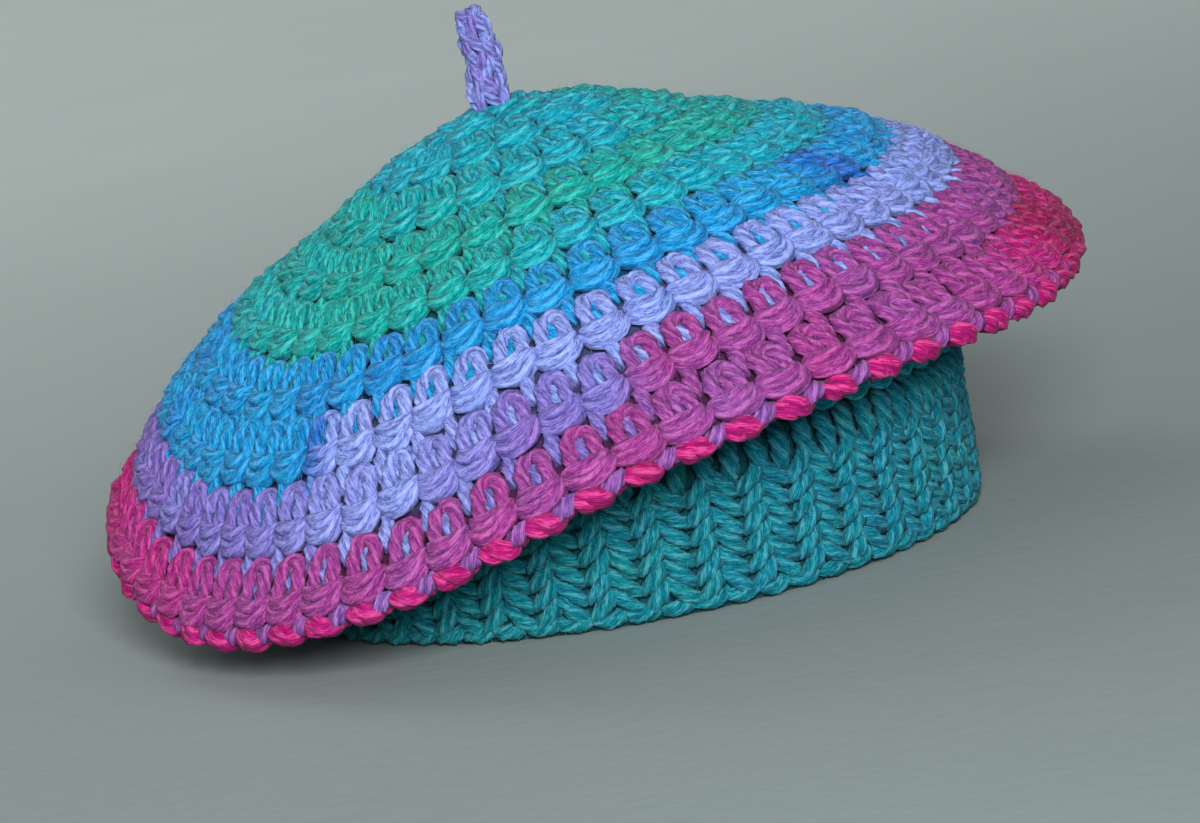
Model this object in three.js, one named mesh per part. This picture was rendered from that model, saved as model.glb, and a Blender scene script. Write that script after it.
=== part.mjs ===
// A crocheted beret that stands on its own head band, with the crown tipped down to the left.
// Units are millimetres and +Z is up. The band stands on z = 0, -Y is the front, and the origin is
// under the middle of the hat.
import * as THREE from 'three';

// Driving sizes of the crown, before it is tipped
const CROWN_RADIUS = 129; // from the axis to the outermost round
const CROWN_HEIGHT = 78; // from the plane of the rim to the top of the dome
const RIM_WAVE_HEIGHT = 18; // the tallest lift of the rim out of its plane
const CROWN_TILT = THREE.MathUtils.degToRad(13); // tip of the crown's axis towards -X
const SHOULDER_SAG = 3.4; // how far the dome's right shoulder has sunk
const SHOULDER_BEARING = THREE.MathUtils.degToRad(20); // where it has sunk most, from +X

// The crocheted wall
const FABRIC = 5.4; // thickness
const ROUND_RELIEF = 0.9; // how far the middle of a round stands out past its joints

// The bead-like last round that turns the rim under
const EDGE_WIDTH = 7.2;
const EDGE_DROP = 5.2;

// The head band
const BAND_RADIUS = 89; // outside
const BAND_HEIGHT = 40;
const BAND_CENTRE = 3.4; // of the band and of the crown's axis at the rim, along +X

// The stem on top
const STEM_LENGTH = 24.5;
const STEM_WIDTH = 9.6; // across its root
const STEM_OFFSET = 2.6; // of its root from the crown's axis
const STEM_LEAN = 3.4; // sideways drift of its tip

// Clearances
const SEAM_GAP = 0.3; // between two pieces that are worked onto each other
const FLOOR_CLEARANCE = 0.8; // under the lowest stretch of the rim
const FOLD_CLEARANCE = 1.5; // between the crown's lining side and the fold over the band

// Fineness of the faceted surfaces
const AROUND = 64;
const ROWS_PER_ROUND = 3;
const LINING_ROWS = 8;
const STEM_SIDES = 10;

// Rounds of the crown from the centre out. reach is a share of CROWN_RADIUS, rise of CROWN_HEIGHT.
const CROWN_ROUNDS = [
  { reach: 0, rise: 1 },
  { reach: 0.13, rise: 0.966 },
  { reach: 0.255, rise: 0.9 },
  { reach: 0.375, rise: 0.8 },
  { reach: 0.495, rise: 0.705 },
  { reach: 0.61, rise: 0.6 },
  { reach: 0.72, rise: 0.475 },
  { reach: 0.82, rise: 0.325 },
  { reach: 0.91, rise: 0.16 },
  { reach: 1, rise: 0 },
];

// The waviness of the rim, by bearing from +X in even steps. lift is a share of RIM_WAVE_HEIGHT,
// spread is the rim's reach as a share of CROWN_RADIUS.
const RIM_WAVE = [
  { bearing: 0, lift: -0.16, spread: 0.965 },
  { bearing: 30, lift: 0.08, spread: 0.975 },
  { bearing: 60, lift: -0.04, spread: 0.99 },
  { bearing: 90, lift: -0.14, spread: 1 },
  { bearing: 120, lift: 0.42, spread: 1 },
  { bearing: 150, lift: 1.3, spread: 1 },
  { bearing: 180, lift: 1.04, spread: 1 },
  { bearing: 210, lift: -0.02, spread: 1.005 },
  { bearing: 240, lift: -0.18, spread: 1.005 },
  { bearing: 270, lift: 0.28, spread: 1 },
  { bearing: 300, lift: 0.17, spread: 0.995 },
  { bearing: 330, lift: -0.26, spread: 0.98 },
];

const UNDERSIDE_ROUNDS = 3;
const BAND_ROUNDS = 6;

// The underside leaves the rim level and folds over into the band. Each pull is a share of the
// straight way from the rim to the band.
const UNDERSIDE_PULL_FROM_RIM = 0.5;
const UNDERSIDE_PULL_INTO_BAND = 0.55;
const FOLD_RISE = 0.45 * UNDERSIDE_PULL_INTO_BAND; // how far the fold stands up over the band

// Section of the edge round. out is a share of EDGE_WIDTH inwards from the rim, down of EDGE_DROP.
const EDGE_SECTION = [
  { out: 0.1, down: 0 },
  { out: 1, down: 0 },
  { out: 1, down: 0.82 },
  { out: 0.8, down: 1 },
  { out: 0.32, down: 1 },
  { out: 0.07, down: 0.8 },
  { out: 0, down: 0.42 },
];

// Sections of the stem. along is a share of STEM_LENGTH, width of STEM_WIDTH, drift of STEM_LEAN.
const STEM_SECTIONS = [
  { along: 0, width: 0.96, drift: 0 },
  { along: 0.1, width: 1.06, drift: 0 },
  { along: 0.26, width: 0.94, drift: 0.3 },
  { along: 0.5, width: 0.88, drift: 0.8 },
  { along: 0.74, width: 0.86, drift: 0.9 },
  { along: 0.9, width: 0.74, drift: 0.96 },
  { along: 0.98, width: 0.4, drift: 1 },
];

const FULL_TURN = 2 * Math.PI;
const LAST_ROUND = CROWN_ROUNDS.length - 1;

const crownCurve = new THREE.SplineCurve(
  CROWN_ROUNDS.map(({ reach, rise }) => new THREE.Vector2(reach * CROWN_RADIUS, rise * CROWN_HEIGHT)),
);

/** One column of the rim's table at a bearing: a smooth closed curve through its rows. */
function rimValue(bearing, column) {
  const step = FULL_TURN / RIM_WAVE.length;
  const place = THREE.MathUtils.euclideanModulo(bearing, FULL_TURN) / step;
  const row = Math.floor(place);
  const share = place - row;
  const value = (offset) => RIM_WAVE[(row + offset + RIM_WAVE.length) % RIM_WAVE.length][column];
  const [before, here, next, after] = [value(-1), value(0), value(1), value(2)];
  const straight = next - before;
  const bend = 2 * before - 5 * here + 4 * next - after;
  const twist = 3 * (here - next) + after - before;
  return here + 0.5 * share * (straight + share * (bend + share * twist));
}

/** How far the dome has sunk at a bearing and reach. */
function sag(bearing, reach) {
  const facing = Math.max(0, Math.cos(bearing - SHOULDER_BEARING));
  return SHOULDER_SAG * (facing * Math.sin((Math.PI * reach) / CROWN_RADIUS)) ** 2;
}

/** A point of the crown before it is tipped. The waviness dies out towards the centre. */
function crownPoint(bearing, reach, rise) {
  const nearRim = (reach / CROWN_RADIUS) ** 2;
  const lift = RIM_WAVE_HEIGHT * rimValue(bearing, 'lift') * nearRim - sag(bearing, reach);
  const spread = reach * (1 + (rimValue(bearing, 'spread') - 1) * nearRim);
  return new THREE.Vector3(spread * Math.cos(bearing), spread * Math.sin(bearing), rise + lift);
}

/** Turns a point or direction of the crown by its tilt. */
function tip(vector) {
  return vector.applyAxisAngle(new THREE.Vector3(0, 1, 0), -CROWN_TILT);
}

/** The bearings of the rows of points round the hat. */
function bearings(count = AROUND) {
  return Array.from({ length: count }, (_, i) => (i * FULL_TURN) / count);
}

/** How far the fabric stands out part way through its rounds: none at a joint, most between two. */
function relief(rounds) {
  return ROUND_RELIEF * Math.abs(Math.sin(Math.PI * rounds));
}

/** Reach and rise of the crown, moved by a distance along the outward normal. */
function crownSection(rounds, offset) {
  const share = rounds / LAST_ROUND;
  const point = crownCurve.getPoint(share);
  const along = crownCurve.getTangent(share);
  return new THREE.Vector2(point.x - along.y * offset, point.y + along.x * offset);
}

/** Height of the rim's plane at which its lowest stretch clears the floor at a bearing. */
function heightOverFloor(bearing) {
  const edge = tip(crownPoint(bearing, CROWN_RADIUS, -SEAM_GAP - EDGE_DROP));
  return FLOOR_CLEARANCE - edge.z;
}

/** Height of the rim's plane at which the crown clears the fold over the band at a bearing. */
function heightOverFold(bearing) {
  const fold = FABRIC + FOLD_RISE * (CROWN_RADIUS - EDGE_WIDTH - BAND_RADIUS) + FOLD_CLEARANCE;
  const roundOverBand = CROWN_ROUNDS.findIndex(({ reach }) => reach * CROWN_RADIUS > BAND_RADIUS);
  const lining = crownSection(roundOverBand, -FABRIC);
  return BAND_HEIGHT + fold - tip(crownPoint(bearing, lining.x, lining.y)).z;
}

/** Height of the rim's plane over the floor. */
function rimHeight() {
  const heights = bearings().flatMap((bearing) => [heightOverFloor(bearing), heightOverFold(bearing)]);
  return Math.max(...heights);
}

const RIM_HEIGHT = rimHeight();

/** Moves a tipped point of the crown or stem to its place over the band. */
function seat(point) {
  point.x += BAND_CENTRE;
  point.z += RIM_HEIGHT;
  return point;
}

/** A point of the crown in its place on the hat. */
function placed(bearing, reach, rise) {
  return seat(tip(crownPoint(bearing, reach, rise)));
}

/** A point of the band. */
function bandPoint(bearing, radius, height) {
  return new THREE.Vector3(BAND_CENTRE + radius * Math.cos(bearing), radius * Math.sin(bearing), height);
}

/**
 * A closed body through rows of points. A row of one point closes an end, and with no such row
 * the last row joins the first.
 */
function loft(rows) {
  const positions = [];
  const starts = rows.map((row) => {
    const start = positions.length / 3;
    row.forEach((point) => positions.push(point.x, point.y, point.z));
    return start;
  });
  const vertex = (row, place) => starts[row] + (place % rows[row].length);
  const index = [];
  const joins = rows[0].length === 1 ? rows.length - 1 : rows.length;
  for (let row = 0; row < joins; row += 1) {
    const next = (row + 1) % rows.length;
    const count = Math.max(rows[row].length, rows[next].length);
    for (let place = 0; place < count; place += 1) {
      const [near, nearNext] = [vertex(row, place), vertex(row, place + 1)];
      const [far, farNext] = [vertex(next, place), vertex(next, place + 1)];
      if (far !== farNext) index.push(near, far, farNext);
      if (near !== nearNext) index.push(near, farNext, nearNext);
    }
  }
  const geometry = new THREE.BufferGeometry();
  geometry.setAttribute('position', new THREE.Float32BufferAttribute(positions, 3));
  geometry.setIndex(index);
  geometry.computeVertexNormals();
  return geometry;
}

/** The domed top, from its closed centre to the joint with the edge round. */
function crownTop() {
  const apex = [placed(0, 0, CROWN_HEIGHT)];
  const outside = [];
  for (let i = 1; i <= LAST_ROUND * ROWS_PER_ROUND; i += 1) {
    const rounds = i / ROWS_PER_ROUND;
    const section = crownSection(rounds, relief(rounds));
    outside.push(bearings().map((bearing) => placed(bearing, section.x, section.y)));
  }
  const inside = [bearings().map((bearing) => placed(bearing, CROWN_RADIUS - EDGE_WIDTH, 0))];
  for (let rounds = LAST_ROUND - 1; rounds > 0; rounds -= 1) {
    const section = crownSection(rounds, -FABRIC);
    inside.push(bearings().map((bearing) => placed(bearing, section.x, section.y)));
  }
  const ceiling = [placed(0, 0, CROWN_HEIGHT - FABRIC)];
  return loft([apex, ...outside, ...inside, ceiling]);
}

/** The last round, which turns the rim under. */
function edgeRound() {
  return loft(
    EDGE_SECTION.map(({ out, down }) => {
      const reach = CROWN_RADIUS - out * EDGE_WIDTH;
      const rise = -SEAM_GAP - down * EDGE_DROP;
      return bearings().map((bearing) => placed(bearing, reach, rise));
    }).reverse(),
  );
}

/** The line that the lower side of the underside follows at a bearing, from the rim to the band. */
function undersideLine(bearing) {
  const start = placed(bearing, CROWN_RADIUS - EDGE_WIDTH - SEAM_GAP, -SEAM_GAP - FABRIC);
  const outward = new THREE.Vector3(Math.cos(bearing), Math.sin(bearing), 0);
  const end = bandPoint(bearing, BAND_RADIUS, BAND_HEIGHT + SEAM_GAP);
  const way = start.distanceTo(end);
  const inward = tip(outward.clone().negate());
  const pull = inward.multiplyScalar(UNDERSIDE_PULL_FROM_RIM * way).add(start);
  const fold = end.clone();
  fold.z += UNDERSIDE_PULL_INTO_BAND * way;
  return new THREE.CubicBezierCurve3(start, pull, fold, end);
}

/** A row of points part way in along the underside, moved towards the lining by a distance. */
function undersideRow(share, offset) {
  const turn = FULL_TURN / AROUND;
  return bearings().map((bearing) => {
    const line = undersideLine(bearing);
    const along = line.getTangent(share);
    const sideways = undersideLine(bearing + turn).getPoint(share);
    sideways.sub(undersideLine(bearing - turn).getPoint(share));
    const inwards = sideways.cross(along).normalize();
    return line.getPoint(share).addScaledVector(inwards, offset);
  });
}

/** The underside, which gathers from the rim in to the top of the band. */
function crownUnderside() {
  const outside = [];
  const steps = UNDERSIDE_ROUNDS * ROWS_PER_ROUND;
  for (let i = 0; i <= steps; i += 1) {
    outside.push(undersideRow(i / steps, -relief((i / steps) * UNDERSIDE_ROUNDS)));
  }
  const inside = [];
  for (let i = LINING_ROWS; i >= 0; i -= 1) inside.push(undersideRow(i / LINING_ROWS, FABRIC));
  return loft([...outside, ...inside]);
}

/** A level row of points on the band. */
function bandRow(radius, height) {
  return bearings().map((bearing) => bandPoint(bearing, radius, height));
}

/** The upright band that goes round the head and stands on the floor. */
function headBand() {
  const outside = [];
  const steps = BAND_ROUNDS * ROWS_PER_ROUND;
  for (let i = 0; i <= steps; i += 1) {
    const radius = BAND_RADIUS + relief((i / steps) * BAND_ROUNDS);
    outside.push(bandRow(radius, BAND_HEIGHT * (1 - i / steps)));
  }
  const lining = BAND_RADIUS - FABRIC;
  return loft([...outside, bandRow(lining, 0), bandRow(lining, BAND_HEIGHT)]);
}

/** The stem, which stands on the centre of the crown and leans a little. */
function stem() {
  const root = CROWN_HEIGHT + SEAM_GAP;
  const centre = ({ along, drift }) =>
    new THREE.Vector3(STEM_OFFSET + drift * STEM_LEAN, 0, root + along * STEM_LENGTH);
  const rings = STEM_SECTIONS.map((section) =>
    bearings(STEM_SIDES).map((bearing) => {
      const radius = (section.width * STEM_WIDTH) / 2;
      const point = new THREE.Vector3(radius * Math.cos(bearing), radius * Math.sin(bearing), 0);
      return seat(tip(point.add(centre(section))));
    }),
  );
  const foot = seat(tip(centre({ along: 0, drift: 0 })));
  const end = seat(tip(centre({ along: 1, drift: 1 })));
  return loft([[end], ...rings.reverse(), [foot]]);
}

/** A named piece in its own yarn colour. */
function piece(name, geometry, color) {
  const material = new THREE.MeshStandardMaterial({ color, roughness: 0.95, metalness: 0 });
  const mesh = new THREE.Mesh(geometry, material);
  mesh.name = name;
  return mesh;
}

const hat = new THREE.Group();
hat.add(
  piece('crown_top', crownTop(), 0x3f7fc0),
  piece('edge_round', edgeRound(), 0xb5287f),
  piece('crown_underside', crownUnderside(), 0x6a5fc0),
  piece('head_band', headBand(), 0x1f8f9c),
  piece('stem', stem(), 0x7a68c4),
);

export default hat;
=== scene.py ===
"""A crocheted beret that stands on its own head band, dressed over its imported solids.

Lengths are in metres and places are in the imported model's frame: the band stands on z = 0, -Y is
the front and +X is the viewer's right. The crown's axis is tipped towards -X.
"""

import logging
import math
from collections.abc import Callable, Iterable, Sequence
from dataclasses import dataclass
from enum import Enum
from itertools import pairwise
from typing import Any

import bpy
import numpy as np
from mathutils import Matrix, Vector


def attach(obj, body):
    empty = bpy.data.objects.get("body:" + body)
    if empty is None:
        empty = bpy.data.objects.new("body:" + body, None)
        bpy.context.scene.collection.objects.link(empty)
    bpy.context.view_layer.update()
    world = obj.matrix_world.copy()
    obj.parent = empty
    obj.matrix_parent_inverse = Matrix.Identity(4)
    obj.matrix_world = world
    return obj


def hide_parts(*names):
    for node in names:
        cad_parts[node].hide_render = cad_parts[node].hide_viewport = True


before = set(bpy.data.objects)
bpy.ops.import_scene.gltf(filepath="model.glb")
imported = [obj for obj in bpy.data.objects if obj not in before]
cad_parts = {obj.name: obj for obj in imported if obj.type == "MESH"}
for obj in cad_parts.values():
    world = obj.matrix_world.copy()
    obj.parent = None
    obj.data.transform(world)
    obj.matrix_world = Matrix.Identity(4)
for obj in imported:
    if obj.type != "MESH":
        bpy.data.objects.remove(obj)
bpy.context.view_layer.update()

log = logging.getLogger("beret")

MM = 0.001
FULL_TURN = 2 * math.pi

Surface = Callable[[np.ndarray, np.ndarray, np.ndarray], np.ndarray]
DyeAt = Callable[[np.ndarray], np.ndarray]


# Yarn colours


class Dye(Enum):
    """Dyes of the yarn in the order in which one runs into the next: place on that run, sRGB."""

    SEA_GREEN = (0.0, (4, 162, 150))
    TEAL = (0.12, (2, 160, 180))
    AZURE = (0.26, (14, 146, 204))
    COBALT = (0.36, (20, 104, 190))
    PERIWINKLE = (0.48, (136, 154, 222))
    VIOLET = (0.60, (120, 106, 186))
    ORCHID = (0.67, (142, 82, 162))
    PLUM = (0.74, (154, 60, 140))
    MAGENTA = (0.88, (182, 14, 112))
    CLARET = (1.0, (150, 18, 82))

    @property
    def place(self) -> float:
        """Place of the dye on the run, from 0 to 1."""
        return self.value[0]

    @property
    def colour(self) -> tuple[float, float, float, float]:
        """The dye as a linear colour."""
        return (*(linear(part / 255) for part in self.value[1]), 1.0)


def linear(part: float) -> float:
    """One part of an sRGB colour, from 0 to 1, as light."""
    return part / 12.92 if part <= 0.04045 else ((part + 0.055) / 1.055) ** 2.4


@dataclass(frozen=True)
class DyeChart:
    """The dyes round the hat, a row for each round and a stop for each change of dye.

    Each stop is (bearing from +X in degrees, dye). Between two stops one dye runs into the other.
    """

    rounds: tuple[tuple[tuple[float, Dye], ...], ...]

    def at(self, row: int) -> DyeAt:
        """A function from bearings to dye places in one round.

        Args:
            row: Index of the round. An index past either end takes the end round.

        Returns:
            The function.
        """
        stops = self.rounds[min(max(row, 0), len(self.rounds) - 1)]
        bearings = [bearing for bearing, _ in stops]
        places = [dye.place for _, dye in stops]
        return lambda bearing: np.interp(np.degrees(bearing) % 360, bearings, places, period=360)

    def over(self, bearing: np.ndarray, rounds: np.ndarray) -> np.ndarray:
        """Dye places over a surface.

        Args:
            bearing: Bearings from +X.
            rounds: How many rounds they are from the first one's start.

        Returns:
            The places, in the shape of the bearings.
        """
        dye = np.zeros(bearing.shape)
        rows = np.clip(np.floor(rounds), 0, len(self.rounds) - 1)
        for row in range(len(self.rounds)):
            here = rows == row
            dye[here] = self.at(row)(bearing[here])
        return dye


CROWN_DYES = DyeChart(
    (
        ((270, Dye.TEAL),),
        ((40, Dye.SEA_GREEN), (170, Dye.TEAL), (330, Dye.TEAL)),
        ((20, Dye.SEA_GREEN), (120, Dye.TEAL), (200, Dye.SEA_GREEN), (290, Dye.TEAL)),
        ((60, Dye.TEAL), (230, Dye.SEA_GREEN), (330, Dye.SEA_GREEN)),
        ((90, Dye.TEAL), (240, Dye.SEA_GREEN), (285, Dye.TEAL), (340, Dye.TEAL)),
        ((10, Dye.AZURE), (316, Dye.AZURE), (325, Dye.COBALT), (335, Dye.AZURE)),
        ((25, Dye.PERIWINKLE), (120, Dye.PERIWINKLE), (138, Dye.AZURE), (226, Dye.AZURE),
         (233, Dye.PERIWINKLE)),
        ((5, Dye.PLUM), (80, Dye.PLUM), (130, Dye.VIOLET), (215, Dye.VIOLET), (245, Dye.PERIWINKLE),
         (262, Dye.VIOLET), (272, Dye.VIOLET), (280, Dye.PLUM)),
        ((0, Dye.MAGENTA), (60, Dye.PLUM), (172, Dye.MAGENTA), (226, Dye.PLUM), (322, Dye.PLUM),
         (345, Dye.CLARET)),
    )
)
EDGE_DYES = DyeChart((((0, Dye.CLARET), (60, Dye.MAGENTA), (320, Dye.MAGENTA)),))
EDGE_STRAND_DYES = DyeChart(
    (
        ((0, Dye.CLARET), (60, Dye.PLUM), (200, Dye.PLUM), (235, Dye.ORCHID), (285, Dye.ORCHID),
         (330, Dye.PLUM)),
    )
)
EDGE_CHAIN_DYES = DyeChart((((0, Dye.CLARET), (200, Dye.CLARET), (270, Dye.MAGENTA)),))
UNDERSIDE_DYES = DyeChart(
    (
        ((0, Dye.MAGENTA), (120, Dye.PLUM), (240, Dye.MAGENTA)),
        ((20, Dye.VIOLET), (160, Dye.PERIWINKLE), (280, Dye.VIOLET)),
        ((0, Dye.TEAL), (140, Dye.AZURE), (250, Dye.TEAL)),
    )
)
BAND_DYES = DyeChart(
    (
        ((0, Dye.AZURE), (7, Dye.TEAL), (120, Dye.SEA_GREEN), (300, Dye.TEAL), (353, Dye.TEAL)),
        ((0, Dye.TEAL), (120, Dye.SEA_GREEN), (300, Dye.TEAL)),
    )
)
STEM_DYES = DyeChart(
    (
        ((0, Dye.PERIWINKLE), (90, Dye.VIOLET), (200, Dye.PERIWINKLE), (265, Dye.VIOLET)),
        ((45, Dye.VIOLET), (150, Dye.PERIWINKLE), (220, Dye.VIOLET), (300, Dye.PERIWINKLE)),
    )
)


# The hat's surfaces


def smooth_weights(points: int, rows: int) -> np.ndarray:
    """Weights that turn a run of points into more rows on one smooth curve through them.

    Args:
        points: How many points the curve goes through.
        rows: How many rows are read off it.

    Returns:
        A matrix of rows by points.
    """
    place = np.linspace(0, points - 1, rows)
    start = np.minimum(place.astype(int), points - 2)
    share = place - start
    square, cube = share**2, share**3
    basis = (
        -share + 2 * square - cube,
        2 - 5 * square + 3 * cube,
        share + 4 * square - 3 * cube,
        cube - square,
    )
    weights = np.zeros((rows, points))
    for offset, weight in enumerate(basis, start=-1):
        near = np.clip(start + offset, 0, points - 1)
        np.add.at(weights, (np.arange(rows), near), 0.5 * weight)
    return weights


def smooth_through(table: np.ndarray, place: np.ndarray) -> tuple[np.ndarray, np.ndarray]:
    """Points and slopes of the smooth curve through a table's rows.

    Args:
        table: Rows of the curve's points.
        place: Where to read it, counted in rows. Past the last row the curve goes on straight.

    Returns:
        The points, and their change per row.
    """
    last = len(table) - 1
    inside = np.clip(place, 0, last)
    start = np.minimum(inside.astype(int), last - 1)
    share = (inside - start)[..., None]
    rows = [table[np.clip(start + offset, 0, last)] for offset in (-1, 0, 1, 2)]
    into, out = (rows[2] - rows[0]) / 2, (rows[3] - rows[1]) / 2
    cube = 2 * (rows[1] - rows[2]) + into + out
    square = 3 * (rows[2] - rows[1]) - 2 * into - out
    point = rows[1] + share * (into + share * (square + share * cube))
    slope = into + share * (2 * square + share * 3 * cube)
    return point + (place - inside)[..., None] * slope, slope


@dataclass(frozen=True)
class HatShape:
    """The surfaces of the hat, from the same sizes as its solids.

    Bearings run from +X. Lifts are measured outwards from the middle of the solids' outer face.
    """

    crown_radius: float = 0.129
    crown_height: float = 0.078
    crown_tilt: float = math.radians(13)
    rim_height: float = 0.04065
    shoulder_sag: float = 0.0034
    shoulder_bearing: float = math.radians(20)
    rim_wave: float = 0.018
    fabric: float = 0.0054
    relief: float = 0.0009
    seam: float = 0.0003
    edge_width: float = 0.0072
    edge_drop: float = 0.0052
    band_radius: float = 0.089
    band_height: float = 0.040
    band_centre: float = 0.0034
    stem_length: float = 0.0245
    stem_width: float = 0.0096
    stem_offset: float = 0.0026
    stem_lean: float = 0.0034
    pull_from_rim: float = 0.5
    pull_into_band: float = 0.55
    underside_rounds: int = 3
    band_rounds: int = 6

    # Joints of the crown's rounds from the centre out, as shares of its radius and height
    crown_rounds: tuple[tuple[float, float], ...] = (
        (0, 1), (0.13, 0.966), (0.255, 0.9), (0.375, 0.8), (0.495, 0.705),
        (0.61, 0.6), (0.72, 0.475), (0.82, 0.325), (0.91, 0.16), (1, 0),
    )
    # The rim every 30 degrees: lift as a share of the rim's wave, reach as a share of the radius
    wave: tuple[tuple[float, float], ...] = (
        (-0.16, 0.965), (0.08, 0.975), (-0.04, 0.99), (-0.14, 1), (0.42, 1), (1.3, 1),
        (1.04, 1), (-0.02, 1.005), (-0.18, 1.005), (0.28, 1), (0.17, 0.995), (-0.26, 0.98),
    )
    # Sections of the stem: share of its length, share of its width, share of its lean
    stem_sections: tuple[tuple[float, float, float], ...] = (
        (0, 0.96, 0), (0.1, 1.06, 0), (0.26, 0.94, 0.3), (0.5, 0.88, 0.8),
        (0.74, 0.86, 0.9), (0.9, 0.74, 0.96), (0.98, 0.4, 1),
    )

    def rim(self, bearing: np.ndarray) -> tuple[np.ndarray, np.ndarray]:
        """Lift of the rim out of its plane at each bearing, and its spread."""
        steps = len(self.wave)
        place = (bearing / FULL_TURN * steps) % steps + steps
        row = smooth_through(np.array(self.wave * 3), place)[0]
        return self.rim_wave * row[..., 0], row[..., 1]

    def sag(self, bearing: np.ndarray, reach: np.ndarray) -> np.ndarray:
        """How far the dome has sunk at each bearing and reach."""
        facing = np.maximum(np.cos(bearing - self.shoulder_bearing), 0)
        return self.shoulder_sag * (facing * np.sin(np.pi * reach / self.crown_radius)) ** 2

    def tip(self, across: np.ndarray, beside: np.ndarray, height: np.ndarray) -> np.ndarray:
        """Points of the crown's own frame, tipped and lifted onto the hat."""
        lean, up = math.sin(self.crown_tilt), math.cos(self.crown_tilt)
        tipped = across * up - height * lean + self.band_centre
        lifted = across * lean + height * up + self.rim_height
        return np.stack(np.broadcast_arrays(tipped, beside, lifted), axis=-1)

    def place(self, bearing: np.ndarray, reach: np.ndarray, rise: np.ndarray) -> np.ndarray:
        """Points of the crown in their place on the hat.

        Args:
            bearing: Bearings round the crown's axis.
            reach: Distances from that axis.
            rise: Heights over the rim's plane.

        Returns:
            The points, waved, tipped and lifted onto the hat.
        """
        near_rim = (reach / self.crown_radius) ** 2
        lift, spread = self.rim(bearing)
        wide = reach * (1 + (spread - 1) * near_rim)
        height = rise + lift * near_rim - self.sag(bearing, reach)
        return self.tip(wide * np.cos(bearing), wide * np.sin(bearing), height)

    def crown(self, bearing: np.ndarray, rounds: np.ndarray, lift: np.ndarray) -> np.ndarray:
        """Points over the crown's outer face, by how many rounds they are from the centre."""
        table = np.array(self.crown_rounds) * (self.crown_radius, self.crown_height)
        point, slope = smooth_through(table, rounds)
        along = slope / np.linalg.norm(slope, axis=-1, keepdims=True)
        out = lift + self.swell(rounds)
        reach = point[..., 0] - along[..., 1] * out
        return self.place(bearing, reach, point[..., 1] + along[..., 0] * out)

    def swell(self, rounds: np.ndarray) -> np.ndarray:
        """How far the fabric stands out part way through its rounds."""
        return self.relief * np.abs(np.sin(np.pi * rounds))

    def edge(self, bearing: np.ndarray, turn: np.ndarray, lift: np.ndarray) -> np.ndarray:
        """Points round the edge round, by how far they turn from its outermost line downwards.

        Args:
            bearing: Bearings round the crown's axis.
            turn: Shares of a full turn round the edge's section.
            lift: Heights over the section's face.

        Returns:
            The points.
        """
        angle = turn * FULL_TURN
        width, drop = self.edge_width / 2, self.edge_drop / 2
        reach = self.crown_radius - width + (width + lift) * np.cos(angle)
        return self.place(bearing, reach, -self.seam - drop - (drop + lift) * np.sin(angle))

    def underside_line(self, bearing: np.ndarray, share: np.ndarray) -> tuple[np.ndarray, np.ndarray]:
        """Points and slopes of the underside's lower face, from the rim to the band."""
        reach = np.full_like(bearing, self.crown_radius - self.edge_width - self.seam)
        start = self.place(bearing, reach, np.full_like(bearing, -self.seam - self.fabric))
        outward = np.stack([np.cos(bearing), np.sin(bearing), np.zeros_like(bearing)], axis=-1)
        end = outward * self.band_radius + (self.band_centre, 0, self.band_height + self.seam)
        way = np.linalg.norm(start - end, axis=-1, keepdims=True)
        lean, up = math.sin(self.crown_tilt), math.cos(self.crown_tilt)
        inward = -outward * (up, 1, 0) - outward[..., :1] * np.array((0, 0, lean))
        pull = start + inward * self.pull_from_rim * way
        fold = end + np.array((0, 0, self.pull_into_band)) * way
        near, far = 1 - share[..., None], share[..., None]
        point = near**3 * start + 3 * near**2 * far * pull + 3 * near * far**2 * fold + far**3 * end
        slope = near**2 * (pull - start) + 2 * near * far * (fold - pull) + far**2 * (end - fold)
        return point, slope

    def underside(self, bearing: np.ndarray, rounds: np.ndarray, lift: np.ndarray) -> np.ndarray:
        """Points under the underside's lower face, by how many rounds they are from the rim."""
        share = np.clip(rounds / self.underside_rounds, 0, 1)
        point, slope = self.underside_line(bearing, share)
        step = 0.02
        sideways = self.underside_line(bearing + step, share)[0]
        sideways = sideways - self.underside_line(bearing - step, share)[0]
        away = -np.cross(sideways, slope)
        away /= np.linalg.norm(away, axis=-1, keepdims=True)
        return point + away * (lift + self.swell(rounds))[..., None]

    def band(self, bearing: np.ndarray, rounds: np.ndarray, lift: np.ndarray) -> np.ndarray:
        """Points over the band's outer face, by how many rounds they are from its top."""
        radius = self.band_radius + lift
        height = self.band_height * (1 - rounds / self.band_rounds)
        across = self.band_centre + radius * np.cos(bearing)
        return np.stack([across, radius * np.sin(bearing), height], axis=-1)

    def stem(self, bearing: np.ndarray, along: np.ndarray, lift: np.ndarray) -> np.ndarray:
        """Points over the stem's face, by their share of its length from the root up."""
        sections = np.array(self.stem_sections)
        width = np.interp(along, sections[:, 0], sections[:, 1]) * self.stem_width / 2
        drift = np.interp(along, sections[:, 0], sections[:, 2]) * self.stem_lean
        radius = np.maximum(width + lift, 0)
        across = self.stem_offset + drift + radius * np.cos(bearing)
        height = self.crown_height + self.seam + along * self.stem_length
        return self.tip(across, radius * np.sin(bearing), height)


# Shader maths


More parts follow.
